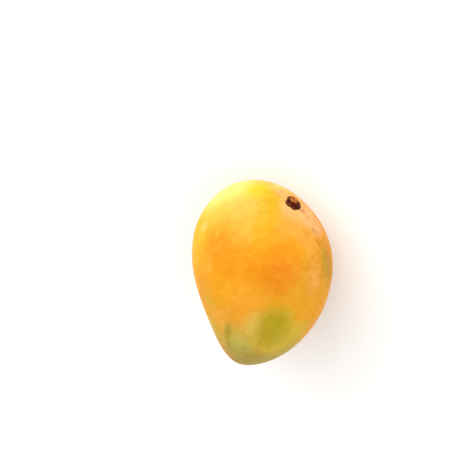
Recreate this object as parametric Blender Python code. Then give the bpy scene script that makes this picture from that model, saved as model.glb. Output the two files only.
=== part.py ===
"""A whole ripe mango lying on its flatter cheek, with the short dark remnant of its stalk.

The form is worked out in the fruit's own frame. There +X runs from the apex to the stem, +Y to
the ventral side with its fuller shoulder, and +Z to the upper cheek. An empty then tips the fruit
into the attitude in which it lies still and sets it over the world's origin, so that the middle
of its box is at X = Y = 0 and the flat spot that it rests on is at Z = 0.
"""

import math

import bmesh
import bpy
from mathutils import Matrix, Vector

MM = 0.001

# Fruit, outer sizes
LENGTH = 95.0 * MM
WIDTH = 75.5 * MM
THICKNESS = 63.5 * MM

# Fruit, how the half width and half thickness change from the apex to the stem.
# Each is multiplied by 1 + a c + b c^2 + d c^3, where c is -1 at the apex and 1 at the stem.
WIDTH_TAPER = (0.200, -0.096, 0.154)
THICKNESS_TAPER = (0.163, -0.077, 0.069)

# Fruit, what makes it oblique
SHOULDER_RISE = 4.9 * MM
HEEL_RISE = 11.5 * MM
STEM_END_DIP = 1.6 * MM
BELLY = 3.7 * MM
SLANT = 7.1 * MM

# Shallow hollow on the ventral side above the apex, with its place and spread as polar angles
SINUS_DEPTH = 1.6 * MM
SINUS_PLACE = 2.3
SINUS_SPREAD = 0.35

# Shallow hollow around the stalk
CAVITY_DEPTH = 0.7 * MM
CAVITY_RADIUS = 6.5 * MM

# Faces of the skin, and how much closer together they are at the stem than at the apex
SKIN_SEGMENTS = 64
SKIN_RINGS = 48
RING_CROWDING = 1.3

# Where the stalk stands beside the form's end: to the ventral side, and to the upper cheek
STALK_PLACE = (-0.67 * MM, -0.67 * MM)

# Remnant of the stalk, measured from the skin at the bottom of the hollow
COLLAR_RADIUS = 4.35 * MM
COLLAR_HEIGHT = 0.9 * MM
COLLAR_ROOT = 1.1 * MM
STALK_RADIUS = 2.25 * MM
STALK_HEIGHT = 2.1 * MM
STALK_LEAN = 0.6
BREAK_SLOPE = 0.18
COLLAR_LOBES = ((2, 0.06, -1.4), (3, 0.07, -2.6), (5, 0.04, 3.75))
STALK_LOBES = ((3, 0.13, 1.27),)
COLLAR_BEYOND = 2.7 * MM
STUB_STEPS = 32
GAP = 0.3 * MM
SOCKET_REACH = 12.0 * MM

# How the fruit lies: turned about its long axis, then stem end raised, then pressed flat
LIE_ROLL = math.radians(0.9)
LIE_PITCH = math.radians(-3.4)
FLAT_DEPTH = 0.35 * MM


def clear_scene():
    for item in list(bpy.data.objects):
        bpy.data.objects.remove(item, do_unlink=True)


def new_collection(name):
    collection = bpy.data.collections.new(name)
    bpy.context.scene.collection.children.link(collection)
    return collection


def new_material(name, colour, roughness, metallic=0.0):
    material = bpy.data.materials.new(name)
    material.use_nodes = True
    shader = material.node_tree.nodes["Principled BSDF"]
    shader.inputs["Base Color"].default_value = (*colour, 1.0)
    shader.inputs["Roughness"].default_value = roughness
    shader.inputs["Metallic"].default_value = metallic
    return material


def new_object(name, bm, collection, parent=None, material=None):
    mesh = bpy.data.meshes.new(name)
    bm.to_mesh(mesh)
    bm.free()
    mesh.shade_smooth()
    item = bpy.data.objects.new(name, mesh)
    collection.objects.link(item)
    item.parent = parent
    if material:
        mesh.materials.append(material)
    return item


def hide_cutter(item):
    item.hide_render = True
    item.display_type = "WIRE"


def taper(coefficients, c):
    first, second, third = coefficients
    return 1.0 + first * c + second * c * c + third * c**3


def body_point(polar, around):
    """Point of the fruit without its stem cavity. polar is 0 at the stem and pi at the apex;
    around is 0 on the ventral side and pi / 2 on the upper cheek."""
    c = math.cos(polar)
    n = math.sin(polar)
    across = n * taper(WIDTH_TAPER, c) * math.cos(around)
    up = n * taper(THICKNESS_TAPER, c) * math.sin(around)
    near_stem = ((1.0 + c) / 2.0) ** 2
    near_apex = ((1.0 - c) / 2.0) ** 2
    x = LENGTH / 2.0 * c
    x += (SHOULDER_RISE * near_stem + HEEL_RISE * near_apex) * across
    x -= STEM_END_DIP * near_stem * up
    y = WIDTH / 2.0 * across + BELLY * n * n + SLANT * c
    facing_ventral = max(0.0, math.cos(around)) ** 2
    y -= SINUS_DEPTH * facing_ventral * math.exp(-(((polar - SINUS_PLACE) / SINUS_SPREAD) ** 2))
    z = THICKNESS / 2.0 * up
    return Vector((x, y, z))


def stem_direction():
    """Outward normal of the body at the stem."""
    step = 0.01
    across = body_point(step, 0.0) - body_point(step, math.pi)
    upward = body_point(step, math.pi / 2.0) - body_point(step, -math.pi / 2.0)
    return across.cross(upward).normalized()


def stub_matrix():
    """Place of the stalk's remnant: at the bottom of the hollow, Z out of the fruit, X ventral."""
    outward = stem_direction()
    ventral = (Vector((0.0, 1.0, 0.0)) - outward * outward.y).normalized()
    sideways = outward.cross(ventral)
    place = Matrix((ventral, sideways, outward)).transposed().to_4x4()
    beside = STALK_PLACE[0] * ventral + STALK_PLACE[1] * sideways
    place.translation = body_point(0.0, 0.0) + beside - CAVITY_DEPTH * outward
    return place


def skin_point(polar, around):
    """Point of the fruit with its stem cavity."""
    point = body_point(polar, around)
    outward = stem_direction()
    away = (point - stub_matrix().translation - CAVITY_DEPTH * outward).length
    return point - outward * CAVITY_DEPTH * math.exp(-((away / CAVITY_RADIUS) ** 2))


def fruit_form():
    """A sphere with its poles at the stem and the apex, its rings crowded towards the stem, and
    each corner moved to the fruit's skin."""
    bm = bmesh.new()
    bmesh.ops.create_uvsphere(bm, u_segments=SKIN_SEGMENTS, v_segments=SKIN_RINGS, radius=1.0)
    for corner in bm.verts:
        even = math.acos(max(-1.0, min(1.0, corner.co.z))) / math.pi
        polar = math.pi * even**RING_CROWDING
        around = math.atan2(corner.co.y, corner.co.x)
        corner.co = skin_point(polar, around)
    bmesh.ops.recalc_face_normals(bm, faces=bm.faces)
    return bm


def lobe_factor(angle, lobes):
    """How much wider the uneven collar or stalk is at an angle round the stalk."""
    return 1.0 + sum(size * math.sin(count * angle + turn) for count, size, turn in lobes)


def turned(profile):
    """A solid turned round Z from (radius, height) points that start and end on the axis. Its
    outer rings have the collar's lobes, and its inner ones those of the stalk."""
    bm = bmesh.new()
    chain = [bm.verts.new((radius, 0.0, height)) for radius, height in profile]
    edges = [bm.edges.new(pair) for pair in zip(chain, chain[1:])]
    bmesh.ops.spin(
        bm,
        geom=chain + edges,
        cent=(0.0, 0.0, 0.0),
        axis=(0.0, 0.0, 1.0),
        angle=2.0 * math.pi,
        steps=STUB_STEPS,
        use_merge=True,
    )
    bmesh.ops.remove_doubles(bm, verts=bm.verts, dist=0.001 * MM)
    for corner in bm.verts:
        in_collar = math.hypot(corner.co.x, corner.co.y) > COLLAR_BEYOND
        lobes = COLLAR_LOBES if in_collar else STALK_LOBES
        factor = lobe_factor(math.atan2(corner.co.y, corner.co.x), lobes)
        corner.co.x *= factor
        corner.co.y *= factor
    bmesh.ops.recalc_face_normals(bm, faces=bm.faces)
    return bm


def stub_form():
    """A low dark collar with a short broken length of stalk standing in it, a little aslant."""
    top = STALK_HEIGHT
    profile = [
        (0.0, -COLLAR_ROOT),
        (0.92 * COLLAR_RADIUS, -COLLAR_ROOT),
        (COLLAR_RADIUS, -0.7 * COLLAR_ROOT),
        (COLLAR_RADIUS, 0.5 * COLLAR_HEIGHT),
        (0.92 * COLLAR_RADIUS, 0.95 * COLLAR_HEIGHT),
        (0.80 * COLLAR_RADIUS, COLLAR_HEIGHT),
        (0.70 * COLLAR_RADIUS, 0.4 * COLLAR_HEIGHT),
        (1.00 * STALK_RADIUS, 0.4 * COLLAR_HEIGHT),
        (0.95 * STALK_RADIUS, 0.50 * top),
        (1.00 * STALK_RADIUS, 0.85 * top),
        (0.85 * STALK_RADIUS, top),
        (0.40 * STALK_RADIUS, 0.94 * top),
        (0.0, 0.92 * top),
    ]
    bm = turned(profile)
    for corner in bm.verts:
        above = max(0.0, corner.co.z - COLLAR_HEIGHT)
        if above > 0.0:
            corner.co.z += BREAK_SLOPE * corner.co.x * above / (top - COLLAR_HEIGHT)
            corner.co.x += STALK_LEAN * above
    return bm


def socket_form():
    """What is cut out of the fruit for the remnant: the collar's outline, larger by the gap."""
    radius = COLLAR_RADIUS + GAP
    bottom = -COLLAR_ROOT - GAP
    return turned([(0.0, bottom), (radius, bottom), (radius, SOCKET_REACH), (0.0, SOCKET_REACH)])


def build_fruit(parts, cutters, frame):
    skin = new_material("mango_skin", (0.79, 0.36, 0.04), 0.50)
    fruit = new_object("fruit", fruit_form(), parts, frame, skin)
    socket = new_object("socket_cutter", socket_form(), cutters, frame)
    socket.matrix_local = stub_matrix()
    hide_cutter(socket)
    cut = fruit.modifiers.new("stem_socket", "BOOLEAN")
    cut.operation = "DIFFERENCE"
    cut.object = socket
    return fruit


def build_stub(parts, frame):
    bark = new_material("stem_bark", (0.09, 0.025, 0.012), 0.75)
    stub = new_object("stem_stub", stub_form(), parts, frame, bark)
    stub.data.set_sharp_from_angle(angle=math.radians(50.0))
    stub.matrix_local = stub_matrix()
    return stub


def world_bounds(items):
    """Lowest and highest corner of the objects as their modifiers leave them."""
    bpy.context.view_layer.update()
    graph = bpy.context.evaluated_depsgraph_get()
    points = []
    for item in items:
        finished = item.evaluated_get(graph)
        points += [finished.matrix_world @ corner.co for corner in finished.data.vertices]
    low = Vector([min(point[axis] for point in points) for axis in range(3)])
    high = Vector([max(point[axis] for point in points) for axis in range(3)])
    return low, high


def lay_down(frame, fruit, stub):
    """Sets the fruit over the origin, its lowest part FLAT_DEPTH below the ground."""
    low, high = world_bounds([fruit, stub])
    frame.location.x = -(low.x + high.x) / 2.0
    frame.location.y = -(low.y + high.y) / 2.0
    frame.location.z = -low.z - FLAT_DEPTH


def cut_rest_spot(fruit, cutters):
    """Cuts off what lies below the ground, which leaves a small flat spot under the fruit."""
    bm = bmesh.new()
    bmesh.ops.create_cube(bm, size=2.0 * LENGTH)
    ground = new_object("ground_cutter", bm, cutters)
    ground.location.z = -LENGTH
    hide_cutter(ground)
    cut = fruit.modifiers.new("rest_spot", "BOOLEAN")
    cut.operation = "DIFFERENCE"
    cut.object = ground


def main():
    clear_scene()
    parts = new_collection("mango")
    cutters = new_collection("cutters")
    frame = bpy.data.objects.new("fruit_frame", None)
    parts.objects.link(frame)
    frame.rotation_euler = (LIE_ROLL, LIE_PITCH, 0.0)
    fruit = build_fruit(parts, cutters, frame)
    stub = build_stub(parts, frame)
    lay_down(frame, fruit, stub)
    cut_rest_spot(fruit, cutters)
    bpy.context.view_layer.update()


main()
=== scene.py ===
"""Looks of a whole ripe mango that lies on its flatter cheek, with the dark remnant of its stalk.

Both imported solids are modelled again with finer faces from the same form, and take their places.
The form is worked out in the fruit's own frame, where +X runs from the apex to the stem, +Y to the
ventral side with its fuller shoulder and +Z to the upper cheek, and then laid down as the solids
are. Markings are placed by two angles on the form: polar is 0 at the stem and pi at the apex, and
around is 0 on the ventral side and pi / 2 on the upper cheek.
"""

import math

import bpy
import numpy as np
from mathutils import Euler, Matrix, Vector, noise


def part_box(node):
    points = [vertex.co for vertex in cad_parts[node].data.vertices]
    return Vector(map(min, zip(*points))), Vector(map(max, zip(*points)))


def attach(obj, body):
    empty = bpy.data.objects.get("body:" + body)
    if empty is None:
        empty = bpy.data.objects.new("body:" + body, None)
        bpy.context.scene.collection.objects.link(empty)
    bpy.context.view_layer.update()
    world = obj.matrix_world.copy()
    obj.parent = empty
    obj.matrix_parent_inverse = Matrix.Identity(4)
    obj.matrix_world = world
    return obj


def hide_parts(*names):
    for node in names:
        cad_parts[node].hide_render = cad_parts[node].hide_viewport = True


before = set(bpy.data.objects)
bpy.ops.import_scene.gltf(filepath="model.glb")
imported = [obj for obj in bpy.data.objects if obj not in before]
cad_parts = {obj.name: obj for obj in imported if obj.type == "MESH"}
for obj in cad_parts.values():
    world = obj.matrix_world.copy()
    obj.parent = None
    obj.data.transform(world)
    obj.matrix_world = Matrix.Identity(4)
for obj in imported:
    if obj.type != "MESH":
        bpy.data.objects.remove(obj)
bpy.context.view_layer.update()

MM = 0.001

# Form of the fruit, as the solids have it
LENGTH = 95.0 * MM
WIDTH = 75.5 * MM
THICKNESS = 63.5 * MM
WIDTH_TAPER = (0.200, -0.096, 0.154)
THICKNESS_TAPER = (0.163, -0.077, 0.069)
SHOULDER_RISE = 4.9 * MM
HEEL_RISE = 11.5 * MM
STEM_END_DIP = 1.6 * MM
BELLY = 3.7 * MM
SLANT = 7.1 * MM
SINUS_DEPTH = 1.6 * MM
SINUS_PLACE = 2.3
SINUS_SPREAD = 0.35
CAVITY_DEPTH = 0.7 * MM
CAVITY_RADIUS = 6.5 * MM
STALK_PLACE = (-0.67 * MM, -0.67 * MM)
SOCKET_REACH = 12.0 * MM
LIE_ROLL = math.radians(0.9)
LIE_PITCH = math.radians(-3.4)

# Form of the stalk's remnant, as the solids have it
COLLAR_RADIUS = 4.35 * MM
COLLAR_HEIGHT = 0.9 * MM
COLLAR_ROOT = 1.1 * MM
STALK_RADIUS = 2.25 * MM
STALK_HEIGHT = 2.1 * MM
STALK_LEAN = 0.6
BREAK_SLOPE = 0.18
COLLAR_LOBES = ((2, 0.06, -1.4), (3, 0.07, -2.6), (5, 0.04, 3.75))
STALK_LOBES = ((3, 0.13, 1.27),)

# Dents of the collar that only the finer pieces have: (angle, spread, share of the radius)
COLLAR_DENTS = (
    (-0.35, 0.30, 0.10),
    (1.57, 0.20, 0.14),
    (0.90, 0.30, -0.05),
    (3.25, 0.30, 0.11),
)

# Lumps and grain of the finer remnant, as (how far they stand out, how far apart they are), and
# how far its surface is drawn in
LUMPS = (0.80 * MM, 1.5 * MM)
GRAIN = (0.30 * MM, 0.6 * MM)
DRAWN_IN = 0.10 * MM

# Side of the stalk towards which its torn end stays dark, not tan: its parts to the ventral
# side and to the upper cheek
DARK_END_SIDE = (-0.83, 0.56)

# Unevenness of the finer skin, as (how far it stands out, how far apart its hills are), and how
# far from the stalk it starts and is in full
BROAD_HILLS = (0.16 * MM, 17.0 * MM)
SMALL_HILLS = (0.05 * MM, 6.0 * MM)
UNEVEN_FROM = (6.0 * MM, 14.0 * MM)

# Faces of the finer skin: segments around, rings, and the rings' radii near the stem in
# millimetres, closest where the skin turns down into the socket
SEGMENTS = 384
FAR_RINGS = 188
NEAR_RADII = (
    *(0.9, 1.8, 2.7, 3.4, 4.0),
    *(4.27, 4.37, 4.43, 4.49, 4.57, 4.68, 4.83),
    *(5.0, 5.2, 5.47, 5.8, 6.2, 6.65, 7.15),
)
RADIUS_PER_POLAR = 42.0 * MM
LOBED_RINGS = 26.0 * MM

# Faces of the finer remnant
STUB_SEGMENTS = 144
STUB_RINGS = 90

# Relief of the skin round the collar: (radius, height) in millimetres, before the lobes
SOCKET_RELIEF = (
    (4.29, -1.3),
    (4.41, -0.25),
    (4.57, 0.04),
    (5.0, 0.12),
    (5.9, 0.05),
    (8.0, 0.0),
)

# Colours of the skin
AMBER = (0.61, 0.240, 0.003)
GOLD = (0.62, 0.282, 0.004)
ORANGE = (0.63, 0.190, 0.001)
DEEP = (0.57, 0.185, 0.002)
TANGERINE = (0.72, 0.298, 0.016)
HONEY = (0.62, 0.308, 0.044)
YELLOW = (0.60, 0.360, 0.004)
# Lemon yellow of the ventral shoulder, paled towards white as a painted highlight
LEMON_AND_HIGHLIGHT = (0.60, 0.440, 0.112)
# A pale cream that is a painted highlight on the skin
CREAM_HIGHLIGHT = (0.62, 0.430, 0.105)
PEACH = (0.65, 0.315, 0.092)
PINK = (0.66, 0.335, 0.120)
MELON = (0.68, 0.300, 0.050)
PALE = (0.70, 0.370, 0.055)
RUST = (0.50, 0.140, 0.004)
BRONZE = (0.44, 0.180, 0.007)
OLIVE = (0.335, 0.262, 0.003)
LEAF = (0.47, 0.355, 0.020)
SAGE = (0.43, 0.385, 0.060)
MOSS = (0.28, 0.225, 0.006)
# Dull khaki of the apex end, darkened as painted shade for the lower rims
KHAKI_AND_SHADE = (0.29, 0.245, 0.038)
BROWN = (0.26, 0.085, 0.010)
STRAW = (0.58, 0.415, 0.070)
APRICOT = (0.70, 0.330, 0.030)
SIENNA = (0.54, 0.222, 0.005)
HONEYCOMB = (0.58, 0.275, 0.004)
# Dull brown of a painted shade on the skin beside the collar
UMBER_SHADE = (0.38, 0.150, 0.045)

# Colours of the stalk's remnant
MAROON = (0.034, 0.004, 0.001)
BLOOD = (0.085, 0.005, 0.001)
PLUM = (0.180, 0.055, 0.030)
TAN = (0.460, 0.190, 0.030)
CINNAMON = (0.240, 0.052, 0.005)
SALMON = (0.480, 0.165, 0.060)

# Patches of the skin, each painted over those before it:
# (polar, around), (reach along, reach across), turn, share that is full colour, colour, strength
SOFT_PATCHES = (
    ((0.98, 1.93), (20.5 * MM, 20.0 * MM), 0.0, 0.1, ORANGE, 1.0),
    ((1.14, 1.36), (20.0 * MM, 19.0 * MM), 0.0, 0.1, ORANGE, 0.75),
    ((0.88, 2.72), (22.0 * MM, 14.0 * MM), 0.0, 0.2, SIENNA, 0.7),
    ((1.76, 0.95), (17.0 * MM, 9.0 * MM), 0.0, 0.2, SIENNA, 0.7),
    ((1.18, 0.98), (21.0 * MM, 16.0 * MM), 0.0, 0.1, DEEP, 0.9),
    ((2.30, -1.20), (26.0 * MM, 24.0 * MM), 0.0, 0.1, ORANGE, 0.6),
    ((1.90, 3.40), (20.0 * MM, 16.0 * MM), 0.0, 0.1, GOLD, 0.7),
    ((1.53, 1.70), (19.0 * MM, 18.0 * MM), 0.0, 0.15, TANGERINE, 0.95),
    ((1.92, 1.38), (13.0 * MM, 10.0 * MM), 0.0, 0.1, APRICOT, 0.9),
    ((1.28, 2.52), (17.0 * MM, 13.0 * MM), 0.0, 0.1, GOLD, 0.7),
    ((0.66, 0.80), (16.0 * MM, 15.0 * MM), 0.0, 0.1, HONEY, 0.85),
    ((0.40, 1.75), (12.0 * MM, 10.0 * MM), 0.0, 0.1, HONEY, 0.55),
    ((0.86, 1.20), (10.0 * MM, 9.0 * MM), 0.0, 0.1, HONEY, 0.45),
    ((0.98, 0.60), (9.0 * MM, 9.0 * MM), 0.0, 0.1, HONEY, 0.5),
    ((0.40, 2.25), (9.0 * MM, 8.0 * MM), 0.0, 0.1, MELON, 0.6),
    # The ventral shoulder's lemon: its own yellow, with a painted highlight over it
    ((0.82, 0.00), (26.0 * MM, 18.0 * MM), 0.0, 0.3, LEMON_AND_HIGHLIGHT, 1.0),
    ((0.38, 0.18), (12.0 * MM, 9.5 * MM), 0.5, 0.05, YELLOW, 0.95),
    # Painted highlight at the edge of the stem end
    ((0.30, 5.50), (11.0 * MM, 10.0 * MM), 0.0, 0.15, CREAM_HIGHLIGHT, 0.8),
    ((0.10, 2.00), (12.0 * MM, 11.0 * MM), 0.0, 0.25, PEACH, 0.85),
    ((0.15, 6.00), (8.0 * MM, 8.0 * MM), 0.0, 0.3, PEACH, 0.85),
    ((0.24, 4.30), (12.0 * MM, 12.0 * MM), 0.0, 0.2, PEACH, 0.8),
    ((0.15, 1.50), (5.5 * MM, 6.5 * MM), 0.0, 0.2, PINK, 0.8),
    ((1.90, 1.66), (11.0 * MM, 8.0 * MM), 0.0, 0.1, STRAW, 0.4),
    ((1.70, 1.92), (15.0 * MM, 9.5 * MM), 0.0, 0.15, STRAW, 0.9),
    ((1.60, 2.22), (19.0 * MM, 15.0 * MM), 0.0, 0.15, LEAF, 0.75),
    ((1.60, 2.60), (13.0 * MM, 12.0 * MM), 0.0, 0.1, LEAF, 0.8),
    # Khaki at the lower rim: olive skin, darkened as painted shade
    ((1.98, 2.66), (13.0 * MM, 15.0 * MM), 0.0, 0.2, KHAKI_AND_SHADE, 0.6),
    ((1.84, 2.48), (17.0 * MM, 16.0 * MM), 0.0, 0.2, LEAF, 0.9),
    ((1.51, 2.18), (13.0 * MM, 12.0 * MM), 0.0, 0.15, OLIVE, 0.95),
    ((1.72, 2.20), (15.0 * MM, 13.5 * MM), 0.0, 0.15, OLIVE, 0.8),
    ((2.08, 1.82), (17.0 * MM, 15.0 * MM), 0.0, 0.15, SAGE, 0.95),
    # Khaki over the apex end: olive skin, partly darkened as painted shade
    ((2.30, 2.40), (20.0 * MM, 24.0 * MM), 0.0, 0.25, KHAKI_AND_SHADE, 0.9),
    ((2.26, 1.18), (15.0 * MM, 10.0 * MM), 0.0, 0.15, LEAF, 0.8),
    # Khaki along the lower rims: olive skin, darkened as painted shade
    ((1.88, 2.74), (15.0 * MM, 10.0 * MM), 0.0, 0.1, KHAKI_AND_SHADE, 0.5),
    ((2.42, 1.20), (9.0 * MM, 7.0 * MM), 0.0, 0.1, KHAKI_AND_SHADE, 0.4),
    ((2.55, -1.70), (15.0 * MM, 13.0 * MM), 0.3, 0.1, LEAF, 0.55),
)

# The same for patches with torn outlines
RAGGED_PATCHES = (
    ((0.27, 3.20), (13.0 * MM, 9.5 * MM), 0.0, 0.45, PINK, 0.9),
    ((0.37, 2.93), (3.2 * MM, 2.6 * MM), 0.0, 0.2, BRONZE, 0.60),
    ((0.39, 2.50), (3.0 * MM, 2.6 * MM), 0.0, 0.2, BRONZE, 0.45),
    ((0.49, 2.88), (4.0 * MM, 2.8 * MM), 0.0, 0.2, BRONZE, 0.60),
    ((0.60, 2.99), (5.0 * MM, 2.4 * MM), 0.0, 0.2, BRONZE, 0.55),
    ((0.25, 0.62), (7.0 * MM, 8.0 * MM), 0.0, 0.2, HONEYCOMB, 0.85),
    ((0.55, 2.55), (11.0 * MM, 6.0 * MM), 0.0, 0.1, MELON, 0.6),
    ((0.93, 2.60), (12.0 * MM, 7.0 * MM), 0.0, 0.1, MELON, 0.75),
    # A pale spot on the ventral cheek, a painted highlight
    ((1.22, 0.54), (7.0 * MM, 5.0 * MM), 0.0, 0.1, HONEY, 0.9),
    ((1.22, 0.56), (4.0 * MM, 3.5 * MM), 0.0, 0.1, CREAM_HIGHLIGHT, 0.15),
    ((2.18, 2.12), (7.0 * MM, 6.0 * MM), 0.0, 0.1, MOSS, 0.45),
    ((1.47, 1.00), (5.5 * MM, 3.0 * MM), 0.0, 0.1, HONEY, 0.6),
    ((0.83, 3.10), (20.0 * MM, 8.0 * MM), 0.0, 0.1, BRONZE, 0.85),
    ((0.78, 2.96), (15.0 * MM, 4.6 * MM), 0.0, 0.1, MOSS, 0.6),
    ((1.82, 1.12), (9.0 * MM, 6.0 * MM), 0.0, 0.1, LEAF, 0.45),
    ((2.00, 1.56), (12.0 * MM, 3.4 * MM), 0.0, 0.1, MOSS, 0.75),
    ((2.24, 1.62), (11.0 * MM, 3.0 * MM), 0.0, 0.1, MOSS, 0.6),
    ((1.60, -0.60), (9.0 * MM, 3.0 * MM), 0.4, 0.1, BRONZE, 0.4),
)

# The same for the small stains, flecks and dots round the stalk, and a painted shade beside the
# collar
SMALL_MARKS = (
    # Painted shade on the skin just beside the collar
    ((0.135, 3.34), (2.9 * MM, 2.6 * MM), 0.0, 0.05, UMBER_SHADE, 0.80),
    ((0.41, 3.02), (1.7 * MM, 1.3 * MM), 0.4, 0.1, BRONZE, 0.50),
    ((0.52, 2.84), (2.0 * MM, 1.2 * MM), 0.0, 0.1, BRONZE, 0.50),
    ((0.40, 2.66), (1.8 * MM, 1.2 * MM), -0.4, 0.1, BRONZE, 0.45),
    ((0.19, 5.65), (1.3 * MM, 1.2 * MM), 0.0, 0.3, BROWN, 0.55),
    ((0.15, 0.23), (1.0 * MM, 0.9 * MM), 0.0, 0.3, BROWN, 0.45),
    ((0.16, 3.42), (0.9 * MM, 0.8 * MM), 0.0, 0.3, BROWN, 0.40),
    ((0.22, 3.12), (1.2 * MM, 1.0 * MM), 0.0, 0.3, BROWN, 0.50),
    ((0.31, 3.40), (1.4 * MM, 1.3 * MM), 0.0, 0.3, BROWN, 0.35),
    ((0.36, 2.90), (0.8 * MM, 0.7 * MM), 0.0, 0.3, BROWN, 0.40),
    ((0.34, 2.10), (0.7 * MM, 0.7 * MM), 0.0, 0.3, BROWN, 0.35),
    ((0.26, 4.90), (0.7 * MM, 0.7 * MM), 0.0, 0.3, BROWN, 0.50),
    ((0.30, 1.10), (0.6 * MM, 0.6 * MM), 0.0, 0.3, BROWN, 0.35),
)

# Floor: its reach, and where it turns from its own tone to the white of the studio
FLOOR_REACH = 6.0
FLOOR_STEPS = 96
FLOOR_TONES = ((0.80, 0.80, 0.805), (0.82, 0.82, 0.825))
FLOOR_FAR_TONE = (0.98, 0.98, 0.98)
FLOOR_FADE = (0.45, 1.6)

# Light: colour of the studio's white, and the lamps, as
# (name, direction from the fruit, distance, size, power, colour)
STUDIO_WHITE = (1.0, 0.99, 0.97, 1.0)
STUDIO_STRENGTH = 1.0
LAMPS_AIM = (0.0, 0.0, 0.03)
LAMPS = (
    ("key", (0.50, 0.62, 0.62), 1.3, (1.3, 1.3), 6.5, (1.0, 0.985, 0.96)),
    ("low_wall", (0.44, 0.88, 0.18), 0.9, (1.5, 0.34), 12.0, (1.0, 0.985, 0.96)),
    ("fill", (0.35, -0.85, 0.45), 1.4, (1.2, 1.0), 7.0, (1.0, 1.0, 1.0)),
)

# Camera: its direction in the fruit's frame, and where it sees the frame's origin
VIEW_TURN = -0.0649
VIEW_RISE = 1.0263
VIEW_ROLL = 2.5224
VIEW_DISTANCE = 0.9
PICTURE_SIDE = 460
PIXELS_PER_METRE = 1976.15
ORIGIN_PIXEL = (261.95, 280.9)
SENSOR = 36.0


def taper(coefficients, c):
    """How much wider or thicker the fruit is where the cosine of polar is c."""
    first, second, third = coefficients
    return 1.0 + first * c + second * c * c + third * c**3


def body_points(polar, around):
    """Points of the fruit without its stem cavity, for arrays of the two angles."""
    c = np.cos(polar)
    n = np.sin(polar)
    across = n * taper(WIDTH_TAPER, c) * np.cos(around)
    up = n * taper(THICKNESS_TAPER, c) * np.sin(around)
    near_stem = ((1.0 + c) / 2.0) ** 2
    near_apex = ((1.0 - c) / 2.0) ** 2
    x = LENGTH / 2.0 * c
    x = x + (SHOULDER_RISE * near_stem + HEEL_RISE * near_apex) * across
    x = x - STEM_END_DIP * near_stem * up
    y = WIDTH / 2.0 * across + BELLY * n * n + SLANT * c
    facing_ventral = np.maximum(0.0, np.cos(around)) ** 2
    y = y - SINUS_DEPTH * facing_ventral * np.exp(-(((polar - SINUS_PLACE) / SINUS_SPREAD) ** 2))
    z = THICKNESS / 2.0 * up
    return np.stack((x, y, z), axis=-1)


def unit(vector):
    return vector / np.linalg.norm(vector)


def stem_frame():
    """Rows: ventral, sideways and outward directions at the stem, and the foot of the stalk."""
    step = 0.01
    across = body_points(step, 0.0) - body_points(step, math.pi)
    upward = body_points(step, math.pi / 2.0) - body_points(step, -math.pi / 2.0)
    outward = unit(np.cross(across, upward))
    ventral = unit(np.array((0.0, 1.0, 0.0)) - outward * outward[1])
    sideways = np.cross(outward, ventral)
    beside = STALK_PLACE[0] * ventral + STALK_PLACE[1] * sideways
    foot = body_points(0.0, 0.0) + beside - CAVITY_DEPTH * outward
    return ventral, sideways, outward, foot


VENTRAL, SIDEWAYS, OUTWARD, FOOT = stem_frame()


def lobe_factor(angle, lobes):
    """How much wider the uneven collar or stalk is at an angle round the stalk."""
    return 1.0 + sum(size * np.sin(count * angle + turn) for count, size, turn in lobes)


def collar_factor(angle):
    """How much wider the collar is at an angle round the stalk, with its dents."""
    factor = lobe_factor(angle, COLLAR_LOBES)
    for place, spread, depth in COLLAR_DENTS:
        apart = np.mod(angle - place + math.pi, 2.0 * math.pi) - math.pi
        factor = factor - depth * np.exp(-((apart / spread) ** 2))
    return factor


def beside_stalk(points):
    """How far points are from the stalk's axis, to the ventral side and to the upper cheek."""
    local = points - FOOT
    return np.stack((local @ VENTRAL, local @ SIDEWAYS), axis=-1)


def collar_radius_of(points):
    """How far points are from the stalk's axis, divided by the collar's lobes."""
    ventral, sideways = np.moveaxis(beside_stalk(points), -1, 0)
    return np.hypot(ventral, sideways) / collar_factor(np.arctan2(sideways, ventral))


def skin_points(polar, around):
    """Points of the fruit with its stem cavity and the socket of the collar."""
    points = body_points(polar, around)
    away = np.linalg.norm(points - FOOT - CAVITY_DEPTH * OUTWARD, axis=-1)
    radii = [radius * MM for radius, _ in SOCKET_RELIEF]
    heights = [height * MM for _, height in SOCKET_RELIEF]
    relief = np.interp(collar_radius_of(points), radii, heights) * (away < SOCKET_REACH)
    rise = relief - CAVITY_DEPTH * np.exp(-((away / CAVITY_RADIUS) ** 2))
    return points + rise[..., None] * OUTWARD


def lying_frame():
    """Turn and place of the fruit's frame in the world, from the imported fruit's box."""
    turn = np.array(Euler((LIE_ROLL, LIE_PITCH, 0.0)).to_matrix())
    polar, around = np.meshgrid(
        np.linspace(0.0, math.pi, 300), np.linspace(0.0, 2.0 * math.pi, 600), indexing="ij"
    )
    points = skin_points(polar, around).reshape(-1, 3) @ turn.T
    low = points.min(axis=0)
    high = points.max(axis=0)
    box_low, box_high = (np.array(corner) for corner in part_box("fruit"))
    middle = (box_low + box_high) / 2.0 - (low + high) / 2.0
    place = np.array((box_low[0] - low[0], middle[1], box_high[2] - high[2]))
    return turn, place


TURN, PLACE = lying_frame()


def laid(points):
    """Points of the fruit's frame, in the world."""
    return points @ TURN.T + PLACE


def smooth(value, low, high):
    """0 at low and 1 at high, with soft ends."""
    part = np.clip((value - low) / (high - low), 0.0, 1.0)
    return part * part * (3.0 - 2.0 * part)


def hills(points, size, seed):
    """Smooth noise. size is how far its hills stand out, and about how far apart they are."""
    height, spread = size
    shift = Vector((seed * 7.3, seed * 3.1, seed * 5.7))
    return height * np.array([noise.noise(Vector(point) / spread + shift) for point in points])


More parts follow.
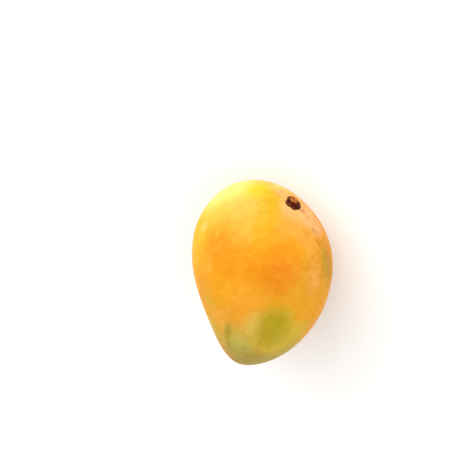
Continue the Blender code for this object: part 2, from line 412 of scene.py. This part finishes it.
def grid_faces(rings, segments):
    """Faces of a closed grid: a first corner, rings of corners, and a last corner."""
    last = 1 + rings * segments
    faces = []
    for segment in range(segments):
        after = (segment + 1) % segments
        faces.append((0, 1 + segment, 1 + after))
        for ring in range(rings - 1):
            here = 1 + ring * segments
            below = here + segments
            faces.append((here + segment, below + segment, below + after, here + after))
        end = 1 + (rings - 1) * segments
        faces.append((end + after, end + segment, last))
    return faces


def new_piece(name, corners, faces, material):
    """A smooth-shaded object in the scene."""
    mesh = bpy.data.meshes.new(name)
    mesh.from_pydata([tuple(corner) for corner in corners], [], faces)
    mesh.shade_smooth()
    mesh.update()
    mesh.materials.append(material)
    piece = bpy.data.objects.new(name, mesh)
    bpy.context.scene.collection.objects.link(piece)
    return piece


def stem_rings():
    """The two angles of each corner of the skin, ring by ring. Near the stem the rings follow the
    collar's lobes, and further off they have one polar angle each."""
    near = np.array(NEAR_RADII) * MM
    first_far = near[-1] / RADIUS_PER_POLAR
    far = np.linspace(first_far, math.pi, FAR_RINGS + 2)[1:-1]
    polars = np.concatenate((near / RADIUS_PER_POLAR, far))
    radii = (polars * RADIUS_PER_POLAR)[:, None, None]
    angles = np.arange(SEGMENTS) / SEGMENTS * 2.0 * math.pi
    direction = np.stack((np.cos(angles), np.sin(angles)), axis=-1)
    plain = polars[:, None, None] * direction
    width_reach = WIDTH / 2.0 * taper(WIDTH_TAPER, 1.0)
    thickness_reach = THICKNESS / 2.0 * taper(THICKNESS_TAPER, 1.0)
    reach = np.array((width_reach, thickness_reach))
    lobed = np.minimum(radii, LOBED_RINGS) * collar_factor(angles)[:, None] * direction
    followed = lobed / reach
    for _ in range(5):
        points = body_points(np.hypot(*np.moveaxis(followed, -1, 0)), around_of(followed))
        followed = followed + (lobed - beside_stalk(points)) / reach
    share = smooth(radii, 0.25 * LOBED_RINGS, LOBED_RINGS)
    mixed = share * plain + (1.0 - share) * followed
    return np.hypot(*np.moveaxis(mixed, -1, 0)), around_of(mixed)


def around_of(flat):
    """The angle around of points given as polar times the cosine and sine of around."""
    return np.arctan2(flat[..., 1], flat[..., 0])


def build_skin(material):
    """The fruit's skin, a little uneven, flat where it rests."""
    polar, around = stem_rings()
    rings = len(polar)
    points = skin_points(polar, around).reshape(-1, 3)
    ends = skin_points(np.array((0.0, math.pi)), np.array((0.0, 0.0)))
    ends[0] = points[:SEGMENTS].mean(axis=0)
    points = np.concatenate((ends[:1], points, ends[1:]))
    middle = points.mean(axis=0)
    outward = points - middle
    outward /= np.linalg.norm(outward, axis=-1)[:, None]
    away = np.linalg.norm(points - FOOT, axis=-1)
    uneven = hills(points, BROAD_HILLS, 1) + hills(points, SMALL_HILLS, 2)
    uneven *= smooth(away, *UNEVEN_FROM)
    corners = laid(points + outward * uneven[:, None])
    corners[:, 2] = np.maximum(corners[:, 2], 0.0)
    piece = new_piece("mango_skin", corners, grid_faces(rings, SEGMENTS), material)
    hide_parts("fruit")
    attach(piece, "root")


def build_stub(material):
    """The stalk's remnant, with the solids' profile made finer, lumpy and torn. The profile is
    (radius, height) from the middle of the broken end down to the middle of the root."""
    top = STALK_HEIGHT
    profile = (
        (0.0, 0.92 * top),
        (0.40 * STALK_RADIUS, 0.94 * top),
        (0.85 * STALK_RADIUS, top),
        (1.00 * STALK_RADIUS, 0.85 * top),
        (0.95 * STALK_RADIUS, 0.50 * top),
        (1.00 * STALK_RADIUS, 0.4 * COLLAR_HEIGHT),
        (0.70 * COLLAR_RADIUS, 0.4 * COLLAR_HEIGHT),
        (0.80 * COLLAR_RADIUS, COLLAR_HEIGHT),
        (0.92 * COLLAR_RADIUS, 0.95 * COLLAR_HEIGHT),
        (COLLAR_RADIUS, 0.5 * COLLAR_HEIGHT),
        (COLLAR_RADIUS, -0.7 * COLLAR_ROOT),
        (0.92 * COLLAR_RADIUS, -COLLAR_ROOT),
        (0.0, -COLLAR_ROOT),
    )
    profile = np.array(profile)
    steps = np.concatenate(((0.0,), np.cumsum(np.linalg.norm(np.diff(profile, axis=0), axis=1))))
    places = np.linspace(0.0, steps[-1], STUB_RINGS + 2)
    radius = np.interp(places, steps, profile[:, 0])
    height = np.interp(places, steps, profile[:, 1])
    angles = np.arange(STUB_SEGMENTS) / STUB_SEGMENTS * 2.0 * math.pi
    radius_grid = np.repeat(radius[1:-1, None], STUB_SEGMENTS, axis=1)
    height_grid = np.repeat(height[1:-1, None], STUB_SEGMENTS, axis=1)
    angle_grid = np.repeat(angles[None, :], STUB_RINGS, axis=0)
    in_collar = smooth(radius_grid, STALK_RADIUS, 0.70 * COLLAR_RADIUS)
    radius_grid = radius_grid * (
        in_collar * collar_factor(angle_grid)
        + (1.0 - in_collar) * lobe_factor(angle_grid, STALK_LOBES)
    )
    x = radius_grid * np.cos(angle_grid)
    y = radius_grid * np.sin(angle_grid)
    points = np.stack((x, y, height_grid), axis=-1).reshape(-1, 3)
    ends = np.array(((0.0, 0.0, height[0]), (0.0, 0.0, height[-1])))
    points = np.concatenate((ends[:1], points, ends[1:]))
    level = points[:, 2].copy()
    above = np.maximum(0.0, level - COLLAR_HEIGHT)
    points[:, 2] += BREAK_SLOPE * points[:, 0] * above / (top - COLLAR_HEIGHT)
    points[:, 0] += STALK_LEAN * above
    still = np.zeros_like(above)
    middle = np.stack((STALK_LEAN * above, still, still + 0.6 * MM), axis=-1)
    outward = points - middle
    outward /= np.maximum(np.linalg.norm(outward, axis=-1), 0.2 * MM)[:, None]
    rough = hills(points, LUMPS, 3) + hills(points, GRAIN, 4) - DRAWN_IN
    rough *= smooth(points[:, 2], -0.4 * MM, 0.3 * MM)
    points = points + outward * rough[:, None]
    place = np.stack((VENTRAL, SIDEWAYS, OUTWARD), axis=0)
    corners = laid(points @ place + FOOT)
    piece = new_piece("stem_remnant", corners, grid_faces(STUB_RINGS, STUB_SEGMENTS), material)
    reach = np.hypot(points[:, 0] - STALK_LEAN * above, points[:, 1])
    low = DARK_END_SIDE[0] * points[:, 0] + DARK_END_SIDE[1] * points[:, 1]
    for name, values in (("height", level), ("reach", reach), ("low", low)):
        field = piece.data.attributes.new(name, "FLOAT", "POINT")
        field.data.foreach_set("value", values.astype(np.float32))
    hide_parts("stem_stub")
    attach(piece, "root")


class Graph:
    """Makes and joins the nodes of one material."""

    def __init__(self, name):
        self.material = bpy.data.materials.new(name)
        self.material.use_nodes = True
        self.tree = self.material.node_tree
        self.shader = self.tree.nodes["Principled BSDF"]
        coordinates = self.tree.nodes.new("ShaderNodeTexCoord")
        self.place = coordinates.outputs["Object"]

    def feed(self, socket, value):
        """Joins a socket to another one, or sets it."""
        if isinstance(value, bpy.types.NodeSocket):
            self.tree.links.new(value, socket)
        else:
            socket.default_value = value

    def node(self, kind, inputs, **settings):
        made = self.tree.nodes.new(kind)
        for name, value in settings.items():
            setattr(made, name, value)
        for name, value in inputs.items():
            self.feed(made.inputs[name], value)
        return made

    def math(self, operation, first, second=0.0, third=0.0):
        made = self.node("ShaderNodeMath", {0: first, 1: second, 2: third}, operation=operation)
        return made.outputs[0]

    def vector(self, operation, first, second=(0.0, 0.0, 0.0), scale=1.0):
        inputs = {0: first, 1: second, 3: scale}
        made = self.node("ShaderNodeVectorMath", inputs, operation=operation)
        return made.outputs["Value" if operation == "LENGTH" else "Vector"]

    def step(self, value, low, high, bottom=0.0, top=1.0):
        """bottom where value is at low, top where it is at high, with soft ends."""
        inputs = {"Value": value, "From Min": low, "From Max": high}
        inputs.update({"To Min": bottom, "To Max": top})
        made = self.node("ShaderNodeMapRange", inputs, interpolation_type="SMOOTHSTEP")
        return made.outputs[0]

    def mix(self, factor, below, above, mode="MIX"):
        """above over below, by factor. Colours are three numbers or a socket."""
        made = self.tree.nodes.new("ShaderNodeMix")
        made.data_type = "RGBA"
        made.blend_type = mode
        self.feed(made.inputs[0], factor)
        for socket, value in ((made.inputs[6], below), (made.inputs[7], above)):
            self.feed(socket, (*value, 1.0) if isinstance(value, tuple) else value)
        return made.outputs[2]

    def noise(self, spread, seed, detail=2.0, roughness=0.5, colour=False):
        """Noise from 0 to 1 whose hills are about spread apart."""
        inputs = {
            "Vector": self.place,
            "W": seed,
            "Scale": 1.0 / spread,
            "Detail": detail,
            "Roughness": roughness,
        }
        made = self.node("ShaderNodeTexNoise", inputs, noise_dimensions="4D")
        return made.outputs["Color" if colour else "Fac"]

    def cells(self, spread, seed):
        """Scattered points about spread apart: how far the nearest is, and its random number."""
        moved = self.vector("ADD", self.place, (0.37 * seed, 0.11 * seed, 0.23 * seed))
        made = self.node("ShaderNodeTexVoronoi", {"Vector": moved, "Scale": 1.0 / spread})
        split = self.node("ShaderNodeSeparateColor", {0: made.outputs["Color"]})
        distance = self.math("MULTIPLY", made.outputs["Distance"], spread)
        return {"distance": distance, "chance": split.outputs[0]}

    def attribute(self, name):
        """A number that build_stub keeps at each corner."""
        made = self.node("ShaderNodeAttribute", {}, attribute_name=name)
        return made.outputs["Fac"]

    def grey(self, value):
        """A value as a colour."""
        return self.node("ShaderNodeCombineColor", {0: value, 1: value, 2: value}).outputs[0]

    def bump(self, height, depth):
        """Relief of the shader: height from 0 to 1 stands for depth."""
        made = self.node("ShaderNodeBump", {"Strength": 1.0, "Distance": depth, "Height": height})
        self.feed(self.shader.inputs["Normal"], made.outputs[0])

    def stirred(self, spread, reach, seed, detail=2.0):
        """The place on the piece, pushed about by noise by up to about reach."""
        push = self.noise(spread, seed, detail=detail, colour=True)
        push = self.vector("SUBTRACT", push, (0.5, 0.5, 0.5))
        push = self.vector("SCALE", push, scale=2.0 * reach)
        return self.vector("ADD", self.place, push)

    def patch(self, place, spot, size, inner, turn=0.0):
        """1 in the inner share of an oval at spot and 0 outside. size is its reach along and
        across the fruit, and turn swings it on the skin."""
        centre, spin = skin_frame(*spot, turn)
        inputs = {
            "Vector": place,
            "Location": centre,
            "Rotation": spin,
            "Scale": (size[0], size[1], max(size)),
        }
        made = self.node("ShaderNodeMapping", inputs, vector_type="TEXTURE")
        return self.step(self.vector("LENGTH", made.outputs[0]), 1.0, inner)

    def painted(self, colour, patches, place):
        """colour with a list of patches painted over it, one after the other."""
        for spot, size, turn, inner, tint, strength in patches:
            cover = self.patch(place, spot, size, inner, turn)
            colour = self.mix(self.math("MULTIPLY", cover, strength), colour, tint)
        return colour


def skin_frame(polar, around, turn):
    """World place of a point of the skin, and the turn whose axes run towards the apex, across
    and out of the skin there."""
    step = 0.002
    centre = skin_points(np.array([polar]), np.array([around]))[0]
    along = skin_points(np.array([polar + step]), np.array([around]))[0] - centre
    across = skin_points(np.array([polar]), np.array([around + step]))[0] - centre
    along = unit(along)
    out = unit(np.cross(along, across))
    across = np.cross(out, along)
    swung = along * math.cos(turn) + across * math.sin(turn)
    axes = np.stack((swung, np.cross(out, swung), out), axis=0) @ TURN.T
    spin = Matrix(axes.tolist()).transposed().to_euler()
    return tuple(laid(centre)), tuple(spin)


def skin_material():
    """Golden skin: orange on the upper cheek, lemon on the ventral shoulder, pale and pinkish
    round the stalk, olive green towards the apex, with mottling, pale pores and brown dots.
    Painted highlight pales the lemon shoulder and some cream spots, and painted shade darkens
    the khaki of the lower rims and a spot beside the collar."""
    graph = Graph("mango_skin")
    soft = graph.stirred(16.0 * MM, 3.5 * MM, 1.0)
    ragged = graph.stirred(5.0 * MM, 2.2 * MM, 2.0, detail=3.0)

    broad = graph.step(graph.noise(28.0 * MM, 3.0, detail=1.0), 0.35, 0.65)
    colour = graph.mix(broad, AMBER, GOLD)
    colour = graph.painted(colour, SOFT_PATCHES, soft)
    colour = graph.painted(colour, RAGGED_PATCHES, ragged)

    blotch = graph.noise(4.2 * MM, 4.0, detail=3.0, roughness=0.6)
    blotch = graph.step(blotch, 0.36, 0.66, -0.12, 0.12)
    fine = graph.step(graph.noise(1.1 * MM, 5.0, detail=2.0), 0.3, 0.7, -0.12, 0.12)
    mottle = graph.math("ADD", blotch, fine)
    colour = graph.mix(graph.math("MAXIMUM", mottle, 0.0), colour, PALE)
    deeper = graph.math("MAXIMUM", graph.math("MULTIPLY", mottle, -1.0), 0.0)
    colour = graph.mix(deeper, colour, RUST)

    freckled = graph.patch(soft, (0.75, 2.75), (26.0 * MM, 15.0 * MM), 0.3)
    freckle = graph.noise(2.4 * MM, 6.0, detail=3.0, roughness=0.65)
    light_freckle = graph.math("MULTIPLY", graph.step(freckle, 0.47, 0.66), freckled)
    dark_freckle = graph.math("MULTIPLY", graph.step(freckle, 0.47, 0.34), freckled)
    colour = graph.mix(graph.math("MULTIPLY", light_freckle, 0.34), colour, MELON)
    colour = graph.mix(graph.math("MULTIPLY", dark_freckle, 0.50), colour, BRONZE)

    green_end = graph.patch(soft, (2.15, 1.95), (24.0 * MM, 22.0 * MM), 0.3)
    greener = graph.step(graph.noise(3.4 * MM, 7.0, detail=3.0, roughness=0.6), 0.50, 0.66)
    greener = graph.math("MULTIPLY", graph.math("MULTIPLY", greener, green_end), 0.40)
    colour = graph.mix(greener, colour, MOSS)

    near_stem = graph.patch(graph.place, (0.18, 2.9), (34.0 * MM, 30.0 * MM), 0.2)
    pore = graph.cells(2.0 * MM, 1.0)
    pore_dot = graph.step(pore["distance"], 0.42 * MM, 0.16 * MM)
    pore_pale = graph.math("MULTIPLY", pore_dot, graph.step(pore["chance"], 0.35, 0.85, 0.0, 0.30))
    colour = graph.mix(pore_pale, colour, PALE)
    speck = graph.cells(3.1 * MM, 2.0)
    speck_dot = graph.step(speck["distance"], 0.50 * MM, 0.20 * MM)
    rare = graph.step(speck["chance"], 0.55, 0.9, 0.0, 0.75)
    common = graph.math("MULTIPLY", near_stem, graph.step(speck["chance"], 0.2, 0.6, 0.0, 0.6))
    speck_dark = graph.math("MULTIPLY", speck_dot, graph.math("MAXIMUM", rare, common))
    colour = graph.mix(graph.math("MULTIPLY", speck_dark, 0.6), colour, BROWN)
    colour = graph.painted(colour, SMALL_MARKS, graph.stirred(1.3 * MM, 0.45 * MM, 12.0))
    graph.feed(graph.shader.inputs["Base Color"], colour)

    gloss = graph.noise(6.0 * MM, 8.0, detail=3.0)
    rough = graph.step(gloss, 0.3, 0.7, 0.46, 0.58)
    rough = graph.math("MULTIPLY_ADD", speck_dot, 0.12, rough)
    graph.feed(graph.shader.inputs["Roughness"], rough)
    graph.feed(graph.shader.inputs["Specular IOR Level"], 0.12)

    peel = graph.noise(0.8 * MM, 9.0, detail=2.0)
    swell = graph.noise(3.6 * MM, 10.0, detail=1.0)
    height = graph.math("ADD", graph.math("MULTIPLY", peel, 0.25), swell)
    height = graph.math("ADD", height, graph.math("MULTIPLY", pore_dot, 0.35))
    height = graph.math("SUBTRACT", height, graph.math("MULTIPLY", speck_dark, 0.4))
    graph.bump(height, 0.055 * MM)
    return graph.material


def stub_material():
    """Rough dark maroon collar with smoother purplish lumps, and a dark stalk with a torn end
    that is tan, and dark towards one side."""
    graph = Graph("stem_bark")
    height = graph.attribute("height")
    reach = graph.attribute("reach")
    lump = graph.step(graph.noise(1.3 * MM, 2.0, detail=2.0), 0.46, 0.64)
    collar = graph.mix(lump, MAROON, PLUM)
    groove = graph.step(height, 0.75 * MM, 0.45 * MM)
    groove = graph.math("MULTIPLY", groove, graph.step(reach, 3.5 * MM, 3.1 * MM))
    colour = graph.mix(graph.math("MULTIPLY", groove, 0.8), collar, BLOOD)
    of_stalk = graph.step(reach, 3.2 * MM, 2.8 * MM)
    side = graph.math("MULTIPLY", graph.step(height, 0.6 * MM, 1.0 * MM), of_stalk)
    colour = graph.mix(side, colour, BLOOD)
    fibre = graph.step(graph.noise(0.9 * MM, 3.0, detail=2.0), 0.44, 0.64)
    end = graph.mix(fibre, CINNAMON, TAN)
    heart = graph.step(graph.noise(1.6 * MM, 5.0, detail=1.0), 0.50, 0.62)
    end = graph.mix(graph.math("MULTIPLY", heart, 0.5), end, SALMON)
    low = graph.attribute("low")
    bare_from = graph.step(low, -0.2 * MM, 0.5 * MM, 0.9 * MM, 1.65 * MM)
    above = graph.math("SUBTRACT", height, bare_from)
    on_end = graph.math("MULTIPLY", graph.step(above, 0.0, 0.2 * MM), of_stalk)
    # The torn end stays dark, not tan, towards that side
    on_end = graph.math("MULTIPLY", on_end, graph.step(low, 1.1 * MM, 0.5 * MM))
    colour = graph.mix(on_end, colour, end)
    grain = graph.step(graph.noise(0.3 * MM, 4.0), 0.3, 0.7, 0.70, 1.2)
    colour = graph.mix(1.0, colour, graph.grey(grain), mode="MULTIPLY")
    graph.feed(graph.shader.inputs["Base Color"], colour)
    graph.feed(graph.shader.inputs["Roughness"], graph.step(lump, 0.0, 1.0, 0.70, 0.45))
    graph.feed(graph.shader.inputs["Specular IOR Level"], 0.07)
    graph.bump(graph.noise(0.35 * MM, 6.0, detail=3.0), 0.12 * MM)
    return graph.material


def floor_material():
    """Pale grey near the fruit, turning white further off, so that no edge shows behind it."""
    graph = Graph("studio_floor")
    near = graph.mix(graph.noise(0.4, 5.0), *FLOOR_TONES)
    away = graph.vector("LENGTH", graph.place)
    tone = graph.mix(graph.step(away, *FLOOR_FADE), near, FLOOR_FAR_TONE)
    graph.feed(graph.shader.inputs["Base Color"], tone)
    graph.feed(graph.shader.inputs["Roughness"], 0.8)
    graph.feed(graph.shader.inputs["Specular IOR Level"], 0.1)
    return graph.material


def build_floor():
    """A wide pale disc under the fruit."""
    corners = [(0.0, 0.0, 0.0)]
    for step in range(FLOOR_STEPS):
        angle = step / FLOOR_STEPS * 2.0 * math.pi
        corners.append((FLOOR_REACH * math.cos(angle), FLOOR_REACH * math.sin(angle), 0.0))
    faces = [(0, 1 + step, 1 + (step + 1) % FLOOR_STEPS) for step in range(FLOOR_STEPS)]
    floor = new_piece("studio_floor", corners, faces, floor_material())


def area_light(name, direction, distance, size, power, colour):
    """A wide soft lamp that faces the fruit from a direction."""
    data = bpy.data.lights.new(name, "AREA")
    data.shape = "RECTANGLE"
    data.size, data.size_y = size
    data.energy = power
    data.color = colour
    lamp = bpy.data.objects.new(name, data)
    bpy.context.scene.collection.objects.link(lamp)
    away = Vector(direction).normalized() * distance
    lamp.location = Vector(LAMPS_AIM) + away
    lamp.rotation_mode = "QUATERNION"
    lamp.rotation_quaternion = (-away).to_track_quat("-Z", "Y")
    lamp.visible_camera = False


def build_world():
    """A white studio, equally bright all round."""
    world = bpy.data.worlds.new("studio")
    world.use_nodes = True
    bpy.context.scene.world = world
    background = world.node_tree.nodes["Background"]
    background.inputs["Color"].default_value = STUDIO_WHITE
    background.inputs["Strength"].default_value = STUDIO_STRENGTH


def build_camera():
    """The photograph's view of the fruit, in perspective, with no shift."""
    towards = np.array(
        (
            math.cos(VIEW_RISE) * math.cos(VIEW_TURN),
            math.cos(VIEW_RISE) * math.sin(VIEW_TURN),
            math.sin(VIEW_RISE),
        )
    )
    upright = np.array(
        (
            -math.sin(VIEW_RISE) * math.cos(VIEW_TURN),
            -math.sin(VIEW_RISE) * math.sin(VIEW_TURN),
            math.cos(VIEW_RISE),
        )
    )
    level = np.cross(upright, towards)
    up = math.cos(VIEW_ROLL) * upright + math.sin(VIEW_ROLL) * level
    right = np.cross(up, towards)
    towards, up, right = (TURN @ axis for axis in (towards, up, right))
    focal = PIXELS_PER_METRE * VIEW_DISTANCE
    aside = (ORIGIN_PIXEL[0] - PICTURE_SIDE / 2.0) / focal
    below = (ORIGIN_PIXEL[1] - PICTURE_SIDE / 2.0) / focal
    forward = unit(-towards - aside * right + below * up)
    up = unit(up - forward * (up @ forward))
    right = np.cross(forward, up)
    data = bpy.data.cameras.new("camera")
    data.sensor_width = SENSOR
    data.lens = SENSOR * focal / PICTURE_SIDE
    camera = bpy.data.objects.new("camera", data)
    bpy.context.scene.collection.objects.link(camera)
    pose = Matrix((right, up, -forward)).transposed().to_4x4()
    pose.translation = PLACE + towards * VIEW_DISTANCE
    camera.matrix_world = pose
    data.clip_start = 0.01
    data.clip_end = 30.0
    bpy.context.scene.camera = camera


build_skin(skin_material())
build_stub(stub_material())
build_floor()
build_world()
for lamp_values in LAMPS:
    area_light(*lamp_values)
build_camera()
bpy.context.scene.view_settings.view_transform = "Standard"
bpy.context.scene.view_settings.look = "None"
